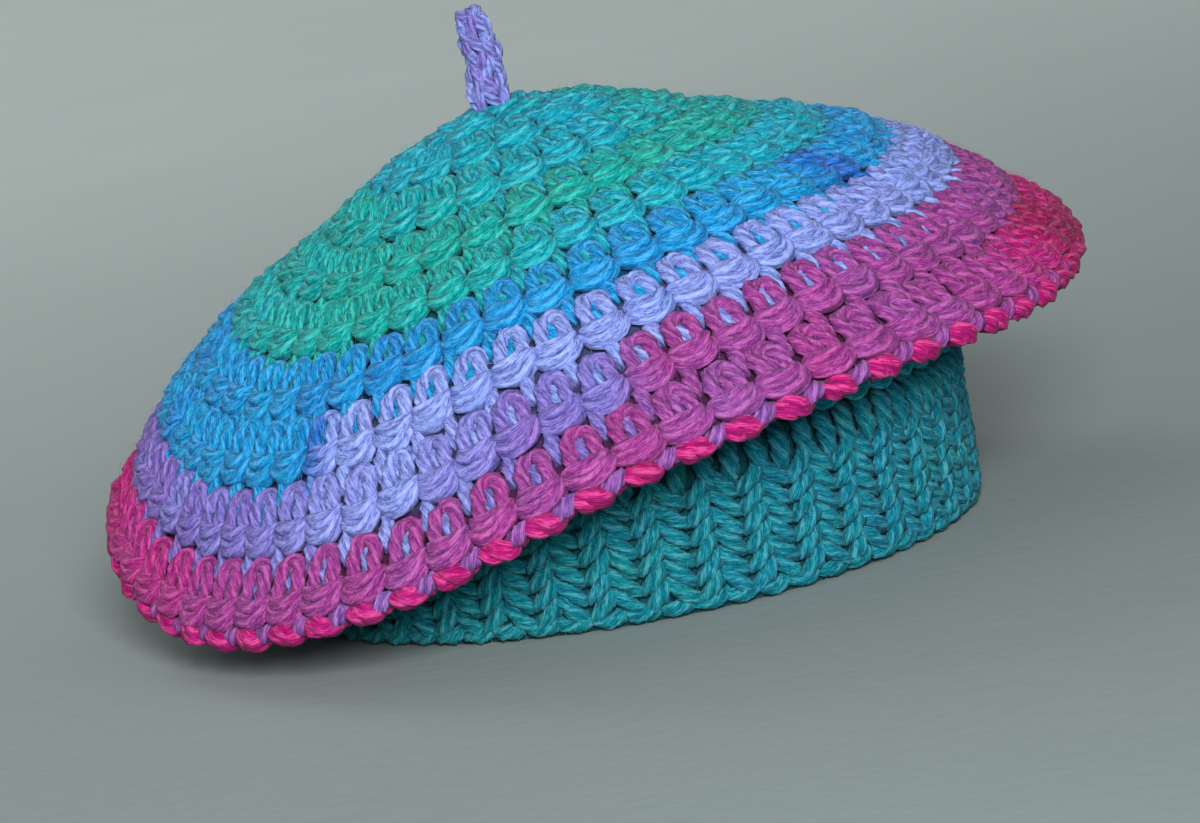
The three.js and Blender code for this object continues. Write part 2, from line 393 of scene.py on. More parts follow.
class Value:
    """A number in a shader. An expression on values adds its Math nodes."""

    def __init__(self, shader: "Shader", socket: bpy.types.NodeSocket) -> None:
        """Keeps the socket and the shader that it belongs to."""
        self.shader = shader
        self.socket = socket

    def maths(self, operation: str, first: "Value | float", second: "Value | float") -> "Value":
        """A Math node on two numbers."""
        node = self.shader.node("ShaderNodeMath", {"operation": operation}, {0: first, 1: second})
        return Value(self.shader, node.outputs[0])

    def __add__(self, other: "Value | float") -> "Value":
        """This number and another."""
        return self.maths("ADD", self, other)

    def __sub__(self, other: "Value | float") -> "Value":
        """This number less another."""
        return self.maths("SUBTRACT", self, other)

    def __rsub__(self, other: float) -> "Value":
        """Another number less this one."""
        return self.maths("SUBTRACT", other, self)

    def __mul__(self, other: "Value | float") -> "Value":
        """This number times another."""
        return self.maths("MULTIPLY", self, other)

    __radd__ = __add__
    __rmul__ = __mul__


class Shader:
    """The nodes of one material."""

    def __init__(self, name: str) -> None:
        """Starts a material with no nodes."""
        self.material = bpy.data.materials.new(name)
        self.material.use_nodes = True
        self.tree = self.material.node_tree
        self.tree.nodes.clear()

    def node(
        self,
        kind: str,
        settings: dict[str, Any] | None = None,
        sockets: dict[str | int, Any] | None = None,
    ) -> bpy.types.Node:
        """Adds one node.

        Args:
            kind: Type of the node.
            settings: Its settings, with a ramp's stops as pairs of place and colour.
            sockets: Values, or values to link, by the name or index of the input.

        Returns:
            The node.
        """
        made = self.tree.nodes.new(kind)
        for name, setting in (settings or {}).items():
            if name == "stops":
                self.set_stops(made.color_ramp, setting)
            else:
                setattr(made, name, setting)
        for name, given in (sockets or {}).items():
            if isinstance(given, Value):
                self.tree.links.new(given.socket, made.inputs[name])
            elif isinstance(given, bpy.types.NodeSocket):
                self.tree.links.new(given, made.inputs[name])
            else:
                made.inputs[name].default_value = given
        return made

    def set_stops(self, ramp: bpy.types.ColorRamp, stops: Sequence[tuple[float, Any]]) -> None:
        """Gives a colour ramp its stops."""
        while len(ramp.elements) < len(stops):
            ramp.elements.new(0.5)
        for element, (place, colour) in zip(ramp.elements, stops):
            element.position = place
            element.color = colour

    def attribute(self, name: str) -> bpy.types.Node:
        """An attribute of the piece's own mesh."""
        return self.node("ShaderNodeAttribute", {"attribute_name": name})

    def scaled(self, vector: bpy.types.NodeSocket, scale: Sequence[float]) -> bpy.types.NodeSocket:
        """A vector times a fixed one."""
        node = self.node("ShaderNodeVectorMath", {"operation": "MULTIPLY"}, {0: vector, 1: scale})
        return node.outputs[0]

    def noise(
        self, vector: bpy.types.NodeSocket, scale: float, detail: float = 2.0, rough: float = 0.5
    ) -> Value:
        """Soft noise from 0 to 1."""
        sockets = {"Vector": vector, "Scale": scale, "Detail": detail, "Roughness": rough}
        return Value(self, self.node("ShaderNodeTexNoise", {}, sockets).outputs[0])

    def mixed(self, factor: Value | float, first: Any, second: Any, blend: str = "MIX") -> Any:
        """Two colours mixed."""
        settings = {"data_type": "RGBA", "blend_type": blend, "clamp_factor": True}
        sockets = {0: factor, 6: first, 7: second}
        return self.node("ShaderNodeMix", settings, sockets).outputs[2]

    def tinted(self, colour: Any, tint: Sequence[float]) -> Any:
        """A colour times a fixed one."""
        return self.mixed(1.0, colour, (*tint, 1), "MULTIPLY")

    def dyed(self, drift: Value | float = 0.0) -> bpy.types.NodeSocket:
        """The piece's own dye as a colour, moved along the run of dyes by a drift."""
        stops = [(row.place, row.colour) for row in Dye]
        place = Value(self, self.attribute("dye").outputs["Fac"]) + drift
        return self.node("ShaderNodeValToRGB", {"stops": stops}, {0: place}).outputs[0]

    def ramp_share(self, value: Value, start: float, end: float) -> Value:
        """Share of the way that a number is from a start to an end, kept between 0 and 1."""
        settings = {"interpolation_type": "SMOOTHSTEP"}
        sockets = {0: value, 1: start, 2: end, 3: 0.0, 4: 1.0}
        if start > end:
            sockets = {0: value, 1: end, 2: start, 3: 1.0, 4: 0.0}
        return Value(self, self.node("ShaderNodeMapRange", settings, sockets).outputs[0])

    def bump(self, height: Value, distance: float, strength: float) -> bpy.types.NodeSocket:
        """A normal roughened by a height."""
        sockets = {"Height": height, "Distance": distance, "Strength": strength}
        return self.node("ShaderNodeBump", {}, sockets).outputs[0]

    def finish(self, sockets: dict[str, Any]) -> bpy.types.Material:
        """Ends the shader in a Principled BSDF.

        Args:
            sockets: The inputs of the Principled BSDF.

        Returns:
            The material.
        """
        surface = self.node("ShaderNodeBsdfPrincipled", {}, sockets)
        self.node("ShaderNodeOutputMaterial", {}, {"Surface": surface.outputs[0]})
        return self.material


# Finishes


@dataclass(frozen=True)
class YarnFinish:
    """Heathered yarn, whose fibres follow the plies and whose dye runs along the work, with painted
    shade where it lies deep and in its grooves, and painted highlight on its crests.

    Attributes:
        name: Name of the material.
        shade: Painted shadow: share of the dye's colour that stays, for yarn that lies in shadow.
        plies: How many plies the yarn has.
        grain: Scales of the fine and the broad streaks, across and along the yarn.
        grain_shares: Shares of the fine streaks, the broad ones and the plies in the tone; the plies'
            share paints shade in their grooves and highlight on their crests.
        patches: Scale of the patches in which the dye drifts.
        dye_drift: How far the dye drifts along the run of dyes.
        painted_hollow_shade: Tint of painted shade on the yarn that lies deepest, where shade falls
            between the stitches.
        painted_shade_rises: Rises over the fabric, in mm, between which that painted shade fades.
        dark_heather_and_shade: Tint of the dark streaks: partly the yarn's own darker fibres, partly
            painted shade where the bump runs low.
        deep_tones: Tones between which they grow.
        deep: Their full share.
        pale_gain: How much brighter the pale streaks are: partly the yarn's own lighter fibres, partly
            painted highlight where the bump runs high.
        wash: Colour that they are washed with.
        wash_share: Share of that wash.
        pale_tones: Tones between which they grow.
        pale: Their full share.
        fibre_bump: Height of the streaks.
        roughness: Roughness of the yarn.
        sheen: Weight of its sheen.
    """

    name: str
    shade: float = 1.0
    plies: int = 4
    grain: tuple[tuple[float, float, float], ...] = ((3.3, 3.3, 0.8), (1.1, 1.1, 0.3))
    grain_shares: tuple[float, float, float] = (0.62, 0.38, 0.05)
    patches: float = 70.0
    dye_drift: float = 0.06
    painted_hollow_shade: tuple[float, float, float] = (0.3, 0.28, 0.36)
    painted_shade_rises: tuple[float, float] = (-3.7, -1.3)
    dark_heather_and_shade: tuple[float, float, float] = (0.36, 0.30, 0.46)
    deep_tones: tuple[float, float] = (0.50, 0.40)
    deep: float = 0.85
    pale_gain: float = 1.7
    wash: tuple[float, float, float, float] = (0.9, 0.88, 0.95, 1)
    wash_share: float = 0.12
    pale_tones: tuple[float, float] = (0.51, 0.61)
    pale: float = 0.6
    fibre_bump: float = 0.0004
    roughness: float = 0.8
    sheen: float = 0.05

    def make(self) -> bpy.types.Material:
        """Builds the material.

        Returns:
            A material that reads the piece's dye, rise, fibre and object coordinates.
        """
        shader = Shader(self.name)
        fibre = shader.attribute("fibre").outputs["Vector"]
        where = shader.node("ShaderNodeTexCoord").outputs["Object"]
        fine = shader.noise(shader.scaled(fibre, self.grain[0]), 1.0, 3.0, 0.62)
        broad = shader.noise(shader.scaled(fibre, self.grain[1]), 1.0, 2.0)
        patch = shader.noise(where, self.patches, 2.0)
        ply = self.ply_height(shader, fibre)
        pure = shader.dyed((broad - 0.5) * self.dye_drift + (patch - 0.5) * self.dye_drift)
        # Painted shadow: the whole piece's colour is darkened by its shade.
        plain = shader.tinted(pure, (self.shade,) * 3)
        # Painted shade: yarn that lies deep under the stitches is darkened by its rise over the fabric.
        rise = Value(shader, shader.attribute("rise").outputs["Fac"])
        above = shader.ramp_share(rise, *self.painted_shade_rises)
        colour = shader.mixed(above, shader.tinted(plain, self.painted_hollow_shade), plain)
        # The tone follows the bump's height: dark streaks are partly painted shade in low streaks and
        # ply grooves, pale ones partly painted highlight on high streaks and ply crests, the rest the
        # yarn's own heather.
        fine_share, broad_share, ply_share = self.grain_shares
        tone = fine * fine_share + broad * broad_share + ply * ply_share
        deep = shader.tinted(colour, self.dark_heather_and_shade)
        pale = shader.mixed(self.wash_share, shader.tinted(colour, (self.pale_gain,) * 3), self.wash)
        heather = shader.mixed(shader.ramp_share(tone, *self.deep_tones) * self.deep, colour, deep)
        heather = shader.mixed(shader.ramp_share(tone, *self.pale_tones) * self.pale, heather, pale)
        return shader.finish(
            {
                "Base Color": heather,
                "Roughness": self.roughness + (fine - 0.5) * 0.2,
                "Sheen Weight": self.sheen,
                "Sheen Roughness": 0.45,
                "Specular IOR Level": 0.15,
                "Normal": shader.bump(fine + broad * 0.5 + ply * 0.25, self.fibre_bump, 0.9),
            }
        )

    def ply_height(self, shader: Shader, fibre: bpy.types.NodeSocket) -> Value:
        """Height of the plies, from -1 in a groove to 1 on a crest."""
        parts = shader.node("ShaderNodeSeparateXYZ", {}, {0: fibre}).outputs
        angle = Value(shader, parts["Y"]).maths("ARCTAN2", parts["Y"], parts["X"])
        return angle.maths("COSINE", angle * float(self.plies), 0.0)


@dataclass(frozen=True)
class FibreFinish:
    """Single fibres that stand off the yarn, painted paler than it as a painted highlight of the light
    they catch.
    """

    name: str
    brightness: float = 1.5
    wash: tuple[float, float, float, float] = (0.85, 0.85, 0.92, 1)
    wash_share: float = 0.1

    def make(self) -> bpy.types.Material:
        """Builds the material.

        Returns:
            A material that reads the piece's dye.
        """
        shader = Shader(self.name)
        # Painted highlight: the fibres are brightened past the yarn's dye and washed pale, as if lit.
        bright = shader.tinted(shader.dyed(), (self.brightness,) * 3)
        pale = shader.mixed(self.wash_share, bright, self.wash)
        return shader.finish({"Base Color": pale, "Roughness": 0.8, "Specular IOR Level": 0.1})


@dataclass(frozen=True)
class FabricFinish:
    """The ground of the fabric: painted shade on its outer face, seen between the stitches, and on its
    lining side ribs with painted shade in their grooves.
    """

    name: str
    # depth and dark_heather_and_shade paint shade in the lining's grooves; gap_shade paints the shade
    # between the stitches on the outer face.
    depth: float = 0.55
    dark_heather_and_shade: tuple[float, float, float] = (0.5, 0.5, 0.55)
    gap_shade: float = 0.3
    outer_lift: tuple[float, float] = (-4.8, -4.2)
    patches: float = 90.0
    dye_drift: float = 0.06
    fuzz: float = 900.0

    def make(self) -> bpy.types.Material:
        """Builds the material.

        Returns:
            A material that reads the piece's dye, stitch and object coordinates.
        """
        shader = Shader(self.name)
        stitch = shader.attribute("stitch").outputs["Vector"]
        where = shader.node("ShaderNodeTexCoord").outputs["Object"]
        patch = shader.noise(where, self.patches, 3.0)
        fuzz = shader.noise(where, self.fuzz, 3.0, 0.6)
        colour = shader.dyed((patch - 0.5) * self.dye_drift)
        lift = Value(shader, shader.node("ShaderNodeSeparateXYZ", {}, {0: stitch}).outputs["Z"])
        outer = shader.ramp_share(lift, *self.outer_lift)
        wave = shader.node(
            "ShaderNodeTexWave",
            {"wave_type": "BANDS", "bands_direction": "X"},
            {"Vector": stitch, "Scale": 0.3183, "Distortion": 1.2, "Detail": 1.0, "Detail Scale": 2.0},
        )
        strand = fuzz * 0.5 + Value(shader, wave.outputs["Fac"]) * 0.5
        # Painted shade: the lining is darkened where its bump runs low, between its ribs and in its
        # fuzz.
        lining = shader.mixed(strand * self.depth, shader.tinted(colour, self.dark_heather_and_shade), colour)
        return shader.finish(
            {
                # Painted shade: the outer face, seen only in the gaps between the stitches, is darkened
                # as the shade there.
                "Base Color": shader.mixed(outer, lining, shader.tinted(lining, (self.gap_shade,) * 3)),
                "Roughness": 0.9,
                "Sheen Weight": 0.1,
                "Specular IOR Level": 0.2,
                "Normal": shader.bump(strand, 0.0006, 0.9),
            }
        )


@dataclass(frozen=True)
class StageFinish:
    """A pale matt floor of faintly mottled cloth, painted paler towards the back as painted light
    standing in for the backdrop's uneven lighting.
    """

    name: str = "pale_floor"
    near: tuple[float, float, float] = (132, 145, 143)
    far: tuple[float, float, float] = (232, 244, 241)
    slant: float = 0.35
    fade: tuple[float, float] = (-0.5, 1.4)
    mottle: float = 0.88

    def make(self) -> bpy.types.Material:
        """Builds the material.

        Returns:
            A material on object coordinates.
        """
        shader = Shader(self.name)
        where = shader.node("ShaderNodeTexCoord").outputs["Object"]
        cloud = shader.noise(where, 7.0, 4.0, 0.6)
        weave = shader.noise(where, 160.0, 4.0, 0.6)
        parts = shader.node("ShaderNodeSeparateXYZ", {}, {0: where}).outputs
        # Painted light: the floor's colour grows paler towards the back and the left, standing in for
        # the light's falloff over the backdrop.
        away = Value(shader, parts["Y"]) - Value(shader, parts["X"]) * self.slant
        near_colour, far_colour = (
            (*(linear(part / 255) for part in colour), 1.0) for colour in (self.near, self.far)
        )
        light = shader.mixed(shader.ramp_share(away, *self.fade), near_colour, far_colour)
        dark = shader.tinted(light, (self.mottle,) * 3)
        colour = shader.mixed(cloud * 0.7 + weave * 0.3, dark, light)
        return shader.finish(
            {
                "Base Color": colour,
                "Roughness": 0.95,
                "Specular IOR Level": 0.1,
                "Normal": shader.bump(weave, 0.0006, 0.35),
            }
        )


# Yarn


@dataclass(frozen=True)
class Yarn:
    """The size and ply of a yarn."""

    radius: float = 0.0021
    plies: int = 4
    groove: float = 0.13
    turn_length: float = 0.018
    sides: int = 12


@dataclass(frozen=True)
class Run:
    """One run of yarn inside a stitch.

    Each point is (across, outwards, lift): across as a share of the stitch's width from its
    middle, outwards as a share of its round, and lift over the fabric's face in millimetres.
    """

    points: tuple[tuple[float, float, float], ...]
    rings: int
    thickness: float = 1.0
    twist: float = 1.0
    from_round_before: bool = False


# A tall stitch: its arch, the two bands that cup its foot, and the two tongues of the round before
# that show between two arches and inside one
TALL_STITCH = (
    Run(
        (
            (-0.21, 0.78, -2.8), (-0.245, 0.60, -0.8), (-0.255, 0.40, -0.1), (-0.225, 0.20, -0.2),
            (-0.09, 0.11, -0.6), (0.09, 0.11, -0.6), (0.225, 0.20, -0.2), (0.255, 0.40, -0.1),
            (0.255, 0.60, -0.6), (0.21, 0.76, -2.5),
        ),
        rings=18,
    ),
    Run(
        (
            (-0.43, 0.55, -1.9), (-0.32, 0.61, -0.2), (-0.12, 0.67, 0.4), (0.12, 0.68, 0.4),
            (0.31, 0.62, -0.1), (0.42, 0.52, -1.7),
        ),
        rings=11,
        twist=0.45,
    ),
    Run(
        (
            (-0.47, 0.63, -1.7), (-0.39, 0.77, -0.3), (-0.18, 0.87, 0.2), (0.06, 0.90, 0.3),
            (0.28, 0.84, 0.0), (0.42, 0.72, -0.5), (0.47, 0.59, -1.8),
        ),
        rings=13,
        twist=0.35,
    ),
    Run(
        ((0.5, -0.22, -1.2), (0.5, -0.03, -0.5), (0.5, 0.15, -0.7), (0.5, 0.34, -2.0)),
        rings=6,
        thickness=0.95,
        from_round_before=True,
    ),
    Run(
        ((0.0, 0.0, -2.6), (0.0, 0.22, -1.7), (0.02, 0.45, -1.5), (0.0, 0.68, -2.4)),
        rings=6,
        from_round_before=True,
    ),
)

# A short stitch of the band: the two arms of its V
SHORT_STITCH = (
    Run(
        (
            (-0.51, -0.55, -1.6), (-0.43, -0.20, -0.1), (-0.28, 0.25, 0.3), (-0.12, 0.66, 0.2),
            (0.0, 0.98, -1.4),
        ),
        rings=9,
    ),
    Run(
        (
            (0.51, -0.55, -1.6), (0.44, -0.20, -0.1), (0.30, 0.25, 0.4), (0.14, 0.66, 0.2),
            (0.03, 0.98, -1.4),
        ),
        rings=9,
    ),
)

# The gathered first round of the band: two tall strands
GATHER_STITCH = (
    Run(
        ((-0.27, -0.1, -1.8), (-0.26, 0.2, 0.0), (-0.22, 0.7, 0.2), (-0.12, 1.15, -1.4)),
        rings=9,
        thickness=1.2,
    ),
    Run(
        ((0.20, -0.1, -1.8), (0.24, 0.2, -0.1), (0.25, 0.7, 0.3), (0.22, 1.15, -1.4)),
        rings=9,
        thickness=1.2,
    ),
)

# The chain along the band's lower edge
CHAIN_STITCH = (
    Run(
        (
            (-0.62, 0.25, -1.6), (-0.35, 0.05, -0.2), (0.0, 0.0, 0.1), (0.32, 0.1, -0.1),
            (0.6, 0.35, -1.7),
        ),
        rings=9,
    ),
)

# A bead of the edge, and the strand up to the next. Their points turn round the edge's section
EDGE_BEAD = (
    Run(
        (
            (-0.40, -0.12, -1.2), (-0.33, 0.02, 0.2), (-0.22, 0.13, 0.7), (-0.08, 0.22, 0.3),
            (0.0, 0.33, -1.0),
        ),
        rings=10,
        thickness=1.1,
    ),
    Run(
        (
            (-0.24, -0.18, -1.0), (-0.13, -0.03, 0.5), (0.01, 0.10, 0.9), (0.13, 0.2, 0.5),
            (0.22, 0.31, -0.8),
        ),
        rings=10,
        thickness=1.2,
    ),
)
EDGE_STRAND = (
    Run(
        (
            (0.10, 0.26, -1.8), (0.22, 0.10, -0.4), (0.38, -0.02, 0.2), (0.54, -0.14, 0.1),
            (0.66, -0.28, -0.9),
        ),
        rings=11,
    ),
)

# The chain under the beads
EDGE_CHAIN = (
    Run(
        (
            (-0.62, 0.33, -1.6), (-0.3, 0.29, -0.2), (0.0, 0.28, 0.1), (0.32, 0.29, -0.1),
            (0.6, 0.33, -1.6),
        ),
        rings=9,
    ),
)

# The ring of yarn that closes the stem's top
STEM_CAP = (
    Run(
        (
            (-0.6, 0.9, -1.0), (-0.3, 0.3, 0.1), (0.0, 0.0, 0.4), (0.3, 0.3, 0.1), (0.6, 0.9, -1.0),
        ),
        rings=11,
    ),
)


@dataclass(frozen=True)
class Hand:
    """The small irregularities of handwork.

    Attributes:
        shift: How far a stitch is off its place, as a run's points are measured.
        lean: How far it leans.
        tint: How far its dye is off.
        wobble: How far each point of a run is off.
        turns: How far apart the twists of two strands may start.
        fibres: How much farther apart their fibres start.
    """

    shift: tuple[float, float, float] = (0.022, 0.018, 0.18)
    lean: float = 0.05
    tint: float = 0.012
    wobble: tuple[float, float, float] = (0.012, 0.010, 0.12)
    turns: float = 40
    fibres: float = 7


class YarnWork:
    """Runs of yarn that become one joined mesh."""

    hand = Hand()
    end_angle = 0.16
    end_power = 0.3
    pole_share = 0.4

    def __init__(self, name: str, yarn: Yarn, seed: int) -> None:
        """Starts an empty piece of work.

        Args:
            name: Name of the piece.
            yarn: The yarn that it is worked in.
            seed: Seed of its small irregularities.
        """
        self.name = name
        self.yarn = yarn
        self.random = np.random.default_rng(seed)
        self.points: list[np.ndarray] = []
        self.fibres: list[np.ndarray] = []
        self.dyes: list[np.ndarray] = []
        self.rises: list[np.ndarray] = []
        self.quads: list[np.ndarray] = []
        self.caps: list[np.ndarray] = []
        self.count = 0

    def lay(
        self,
        lines: np.ndarray,
        away: np.ndarray,
        dye: np.ndarray,
        lift: np.ndarray,
        thickness: float = 1.0,
        twist: float = 1.0,
    ) -> None:
        """Lays strands of plied yarn along lines.

        Args:
            lines: Middles of the strands, as strands by rings by 3.
            away: Directions away from the fabric, of the same shape.
            dye: Dye places, as strands by rings.
            lift: Heights of the middles over the fabric's face, as strands by rings.
            thickness: Share of the yarn's own radius.
            twist: Share of the yarn's own twist.
        """
        strands, rings, _ = lines.shape
        sides, radius = self.yarn.sides, self.yarn.radius * thickness
        ahead = np.gradient(lines, axis=1)
        ahead /= np.linalg.norm(ahead, axis=2, keepdims=True)
        beside = np.cross(ahead, away)
        beside /= np.linalg.norm(beside, axis=2, keepdims=True)
        above = np.cross(beside, ahead)
        steps = np.linalg.norm(np.diff(lines, axis=1), axis=2)
        run = np.concatenate([np.zeros((strands, 1)), np.cumsum(steps, axis=1)], axis=1)
        start = self.random.uniform(0, self.hand.turns, (strands, 1))
        side = np.arange(sides) * FULL_TURN / sides
        turn = side + (FULL_TURN * run * twist / self.yarn.turn_length + start)[..., None]
        lobe = 1 + self.yarn.groove * np.cos(self.yarn.plies * side)
        close = np.linspace(self.end_angle, math.pi - self.end_angle, rings)
        ends = np.sin(close) ** self.end_power
        reach = (radius * ends[:, None] * lobe)[None, ..., None]
        around = np.cos(turn)[..., None] * beside[:, :, None]
        around += np.sin(turn)[..., None] * above[:, :, None]
        rim = lines[:, :, None] + reach * around
        pole = ahead * radius * self.pole_share
        poles = np.stack([lines[:, 0] - pole[:, 0], lines[:, -1] + pole[:, -1]], axis=1)
        self.points.append(
            np.concatenate([rim.reshape(strands, -1, 3), poles], axis=1).reshape(-1, 3)
        )
        along = np.broadcast_to((run / MM + start * self.hand.fibres)[..., None], turn.shape)
        circle = np.broadcast_to(side, turn.shape)
        fibre = np.stack(
            [np.cos(circle) * radius / MM, np.sin(circle) * radius / MM, along], axis=-1
        )
        ends_fibre = np.zeros((strands, 2, 3))
        ends_fibre[:, :, 2] = along[:, [0, -1], 0]
        self.fibres.append(
            np.concatenate([fibre.reshape(strands, -1, 3), ends_fibre], axis=1).reshape(-1, 3)
        )
        tint = np.repeat(dye, sides, axis=1)
        self.dyes.append(np.concatenate([tint, dye[:, [0, -1]]], axis=1).ravel())
        rise = (lift[..., None] + reach[..., 0] * np.sin(turn)).reshape(strands, -1)
        self.rises.append(np.concatenate([rise, lift[:, [0, -1]]], axis=1).ravel() / MM)
        self.join(strands, rings)

    def join(self, strands: int, rings: int) -> None:
        """Adds the faces of strands whose points were just laid."""
        sides = self.yarn.sides
        each = rings * sides + 2
        first = self.count + np.arange(strands)[:, None, None] * each
        ring = np.arange(rings - 1)[None, :, None] * sides
        here, there = np.arange(sides), (np.arange(sides) + 1) % sides
        near, near_next = first + ring + here, first + ring + there
        quads = np.stack([near, near + sides, near_next + sides, near_next], axis=-1)
        self.quads.append(quads.reshape(-1, 4))
        base = first[:, 0]
        start = np.broadcast_to(base + rings * sides, (strands, sides))
        last, end = base + (rings - 1) * sides, start + 1
        self.caps.append(np.stack([start, base + here, base + there], axis=-1).reshape(-1, 3))
        self.caps.append(np.stack([end, last + there, last + here], axis=-1).reshape(-1, 3))
        self.count += strands * each

    def work_round(
        self,
        stitch: Iterable[Run],
        surface: Surface,
        count: int,
        first: float,
        dye: DyeAt,
        dye_before: DyeAt | None = None,
        depth: float = 0.0017,
        length: float = 1.0,
        looseness: float = 1.0,
        turn: float | None = None,
    ) -> None:
        """Works one round of stitches onto a surface.

        Args:
            stitch: The runs of yarn of one stitch.
            surface: Turns bearings, rounds and lifts into points.
            count: How many stitches go round.
            first: Where the round starts on the surface.
            dye: Dye places of the round by bearing.
            dye_before: Those of the round before.
            depth: How far the yarn's middle lies under the surface where its lift is none.
            length: Length of the round on the surface.
            looseness: How uneven the stitches are, with 1 as the crown's.
            turn: Bearing at which the round starts, or none for any.
        """
        wide = self.random.uniform(0, FULL_TURN) if turn is None else turn
        shift = self.random.normal(0, 1, (count, 1, 3)) * self.hand.shift * looseness
        lean = self.random.normal(0, self.hand.lean, (count, 1)) * looseness
        tint = self.random.normal(0, self.hand.tint, (count, 1))
        for run in stitch:
            points = np.array(run.points)[None] + shift
            wobble = self.random.normal(0, 1, points.shape) * self.hand.wobble * looseness
            rows = smooth_weights(len(run.points), run.rings) @ (points + wobble)
            across = rows[..., 0] + lean * (rows[..., 1] - 0.5)
            bearing = FULL_TURN * (np.arange(count)[:, None] + 0.5 + across) / count + wide
            rounds = first + rows[..., 1] * length
            lift = rows[..., 2] * MM - depth
            lines = surface(bearing, rounds, lift)
            away = surface(bearing, rounds, lift + MM) - lines
            source = dye_before if run.from_round_before and dye_before else dye
            self.lay(lines, away, source(bearing) + tint, lift, run.thickness, run.twist)

    def make(self) -> bpy.types.Object:
        """Joins all the strands in one mesh.

        Returns:
            The piece, with its dye, rise and fibre attributes.
        """
        quads, caps = np.concatenate(self.quads), np.concatenate(self.caps)
        mesh = bpy.data.meshes.new(self.name)
        mesh.vertices.add(self.count)
        mesh.vertices.foreach_set("co", np.concatenate(self.points).astype(np.float32).ravel())
        corners = np.concatenate([quads.ravel(), caps.ravel()]).astype(np.int32)
        starts = np.concatenate([np.arange(len(quads)) * 4, len(quads) * 4 + np.arange(len(caps)) * 3])
        mesh.loops.add(len(corners))
        mesh.loops.foreach_set("vertex_index", corners)
        mesh.polygons.add(len(starts))
        mesh.polygons.foreach_set("loop_start", starts.astype(np.int32))
        mesh.polygons.foreach_set("use_smooth", np.ones(len(starts), dtype=bool))
        mesh.update(calc_edges=True)
        give_values(mesh, "dye", np.concatenate(self.dyes))
        give_values(mesh, "rise", np.concatenate(self.rises))
        give_vectors(mesh, "fibre", np.concatenate(self.fibres))
        piece = bpy.data.objects.new(self.name, mesh)
        bpy.context.scene.collection.objects.link(piece)
        return piece


def give_values(mesh: bpy.types.Mesh, name: str, values: np.ndarray) -> None:
    """Gives a mesh a number for each point."""
    attribute = mesh.attributes.new(name, "FLOAT", "POINT")
    attribute.data.foreach_set("value", values.astype(np.float32).ravel())


def give_vectors(mesh: bpy.types.Mesh, name: str, vectors: np.ndarray) -> None:
    """Gives a mesh a vector for each point."""
    attribute = mesh.attributes.new(name, "FLOAT_VECTOR", "POINT")
    attribute.data.foreach_set("vector", vectors.astype(np.float32).ravel())


def dress(
    piece: bpy.types.Object, material: bpy.types.Material, node: str | None = None
) -> None:
    """Gives a piece its material, its body and the node that it stands for.

    Args:
        piece: The piece.
        material: Its material.
        node: The CAD node that it replaces, if it is the first to do so.
    """
    piece.data.materials.clear()
    piece.data.materials.append(material)
    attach(piece, "root")
    if node:
        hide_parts(node)
    log.info("%s: %d faces", piece.name, len(piece.data.polygons))


@dataclass
class Ground:
    """The closed ground of a piece of fabric, under its stitches.

    Attributes:
        name: Name of the piece.
        surface: Turns bearings, rounds and lifts into points.
        rows: Rows of (rounds, lift) round its section, from the middle of the outer face on.
        stitches: Stitches round, for the ribs of its lining side.
        dyes: Its dyes.
        around: Points round the hat.
        closed_section: Whether the last row meets the first.
    """

    name: str
    surface: Surface
    rows: Sequence[tuple[float, float]]
    stitches: int
    dyes: DyeChart
    around: int = 192
    closed_section: bool = True

    def make(self) -> bpy.types.Object:
        """Raises a sleeve row by row, then lays it onto the surface.

        Returns:
            The piece, with its dye and stitch attributes.
        """
        bpy.ops.object.select_all(action="DESELECT")
        fill = "NOTHING" if self.closed_section else "NGON"
        bpy.ops.mesh.primitive_circle_add(vertices=self.around, radius=1, fill_type=fill)
        piece = bpy.context.active_object
        piece.name = piece.data.name = self.name
        bpy.ops.object.mode_set(mode="EDIT")
        bpy.ops.mesh.select_all(action="SELECT")
        rise = {"value": (0, 0, 1)}
        for _ in self.rows[1:]:
            if self.closed_section:
                bpy.ops.mesh.extrude_edges_move(TRANSFORM_OT_translate=rise)
            else:
                bpy.ops.mesh.extrude_region_move(TRANSFORM_OT_translate=rise)
        bpy.ops.object.mode_set(mode="OBJECT")
        self.lay_on(piece.data)
        bpy.ops.object.mode_set(mode="EDIT")
        bpy.ops.mesh.select_all(action="SELECT")
        bpy.ops.mesh.remove_doubles(threshold=1e-6)
        bpy.ops.mesh.normals_make_consistent(inside=False)
        bpy.ops.object.mode_set(mode="OBJECT")
        bpy.ops.object.shade_smooth()
        return piece

    def lay_on(self, mesh: bpy.types.Mesh) -> None:
        """Moves the sleeve's points onto the surface and notes their dyes and stitches."""
        places = np.empty(len(mesh.vertices) * 3, dtype=np.float32)
        mesh.vertices.foreach_get("co", places)
        places = places.reshape(-1, 3).astype(float)
        bearing = np.arctan2(places[:, 1], places[:, 0])
        table = np.array(self.rows)
        row = np.rint(places[:, 2]).astype(int)
        rounds, lift = table[row, 0], table[row, 1]
        laid = self.surface(bearing, rounds, lift).astype(np.float32)
        mesh.vertices.foreach_set("co", laid.ravel())
        give_values(mesh, "dye", self.dyes.over(bearing, rounds))
        stitch = np.stack([bearing / FULL_TURN * self.stitches, rounds * 3, lift / MM], axis=-1)
        give_vectors(mesh, "stitch", stitch)
        mesh.update()


def sleeve_rows(rounds: int, steps: int, outer: float, inner: float) -> list[tuple[float, float]]:
    """Rows of a closed sleeve's section.

    Args:
        rounds: How many rounds long it is.
        steps: Rows in a round.
        outer: Lift under the stitches.
        inner: Lift on the lining side.

    Returns:
        The rows, out under the stitches and back on the lining side.
    """
    out = [(i / steps, outer) for i in range(rounds * steps + 1)]
    return [*out, *((place, inner) for place, _ in reversed(out)), out[0]]


# Sub-assemblies


